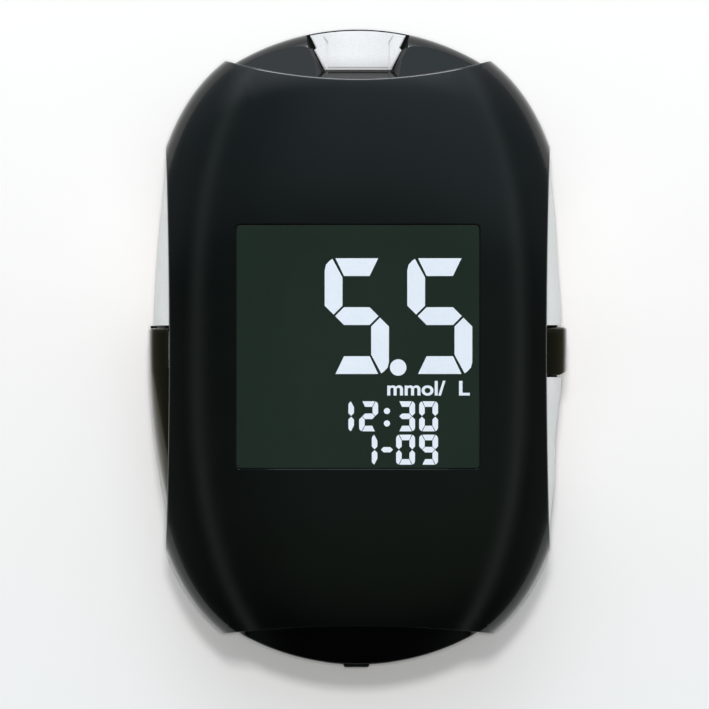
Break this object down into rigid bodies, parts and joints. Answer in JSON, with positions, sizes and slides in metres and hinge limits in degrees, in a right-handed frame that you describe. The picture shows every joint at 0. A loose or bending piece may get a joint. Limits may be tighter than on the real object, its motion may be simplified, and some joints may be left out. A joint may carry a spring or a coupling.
{
  "type": "blood glucose meter",
  "caption": "Palm-sized blood glucose meter with a square display, a strip port at its top end, a strip ejector slider, a side key, a battery door and a data socket flap.",
  "frame": {"origin": "under the middle of the meter's outline, in the plane of the flat back that it lies on", "axes": "+X to the right of the display, +Y along the length towards the strip port, +Z out of the display"},
  "size_m": [0.0544, 0.083, 0.017],
  "materials": {
    "gloss_black": "moulded high gloss black",
    "satin_black": "fine satin black",
    "silver_paint": "smooth silver",
    "grainy_silver": "fine-grained silver",
    "window_tint": "polished clear lens over a dark display",
    "display_glass": "polished",
    "white_plastic": "matt white",
    "foam": "closed-cell foam",
    "board_green": "solder mask",
    "chip_black": "moulded matt black",
    "steel": "nickel-plated",
    "gold": "gold-plated",
    "rubber_black": "satin rubber",
    "grey_plastic": "moulded grey"
  },
  "bodies": {
    "case": {"front_cover": "gloss_black", "display_window": "window_tint", "display_gasket": "foam", "lcd_panel": "display_glass", "light_guide": "white_plastic", "display_frame": "white_plastic", "display_connector": "rubber_black", "middle_frame": "gloss_black", "port_surround": "grainy_silver", "strip_connector": "chip_black", "strip_contact_1": "gold", "strip_contact_2": "gold", "strip_contact_3": "gold", "strip_contact_4": "gold", "side_rail_left": "silver_paint", "side_rail_right": "silver_paint", "rear_housing": "satin_black", "main_board": "board_green", "processor_chip": "chip_black", "memory_chip": "chip_black", "buzzer": "chip_black", "coin_cell": "steel", "battery_contact_negative": "steel", "battery_contact_positive": "steel", "case_screw_1": "steel", "case_screw_2": "steel", "case_screw_3": "steel", "case_screw_4": "steel", "jog_switch": "chip_black", "data_socket": "steel", "eject_return_spring": "steel"},
    "ejector": {"eject_slider": "gloss_black", "eject_arm": "grey_plastic"},
    "plunger": {"jog_plunger": "grey_plastic", "jog_pin": "steel"},
    "key": {"jog_key": "gloss_black"},
    "door": {"battery_door": "satin_black"},
    "flap": {"port_flap": "rubber_black"}
  },
  "joints": [
    {"name": "strip_eject", "type": "slide", "parent": "case", "child": "ejector", "axis": [0, 1, 0], "range_m": [0, 0.0045], "stiffness_N_per_m": 120, "springref_m": -0.001, "deforming": ["eject_return_spring"]},
    {"name": "jog_press", "type": "slide", "parent": "case", "child": "plunger", "axis": [-1, 0, 0], "range_m": [0, 0.0005], "stiffness_N_per_m": 2000, "springref_m": -0.0001},
    {"name": "jog_rock", "type": "hinge", "parent": "plunger", "child": "key", "pos_m": [0.0248, -0.0004, 0.00885], "axis": [0, 0, 1], "range_deg": [-8, 8], "stiffness_Nm_per_rad": 0.01},
    {"name": "battery_door_swing", "type": "hinge", "parent": "case", "child": "door", "pos_m": [0, -0.0272, 0.0006], "axis": [-1, 0, 0], "range_deg": [0, 75]},
    {"name": "port_flap_swing", "type": "hinge", "parent": "case", "child": "flap", "pos_m": [-0.0057, -0.04055, 0.00805], "axis": [0, 0, -1], "range_deg": [0, 100]}
  ]
}
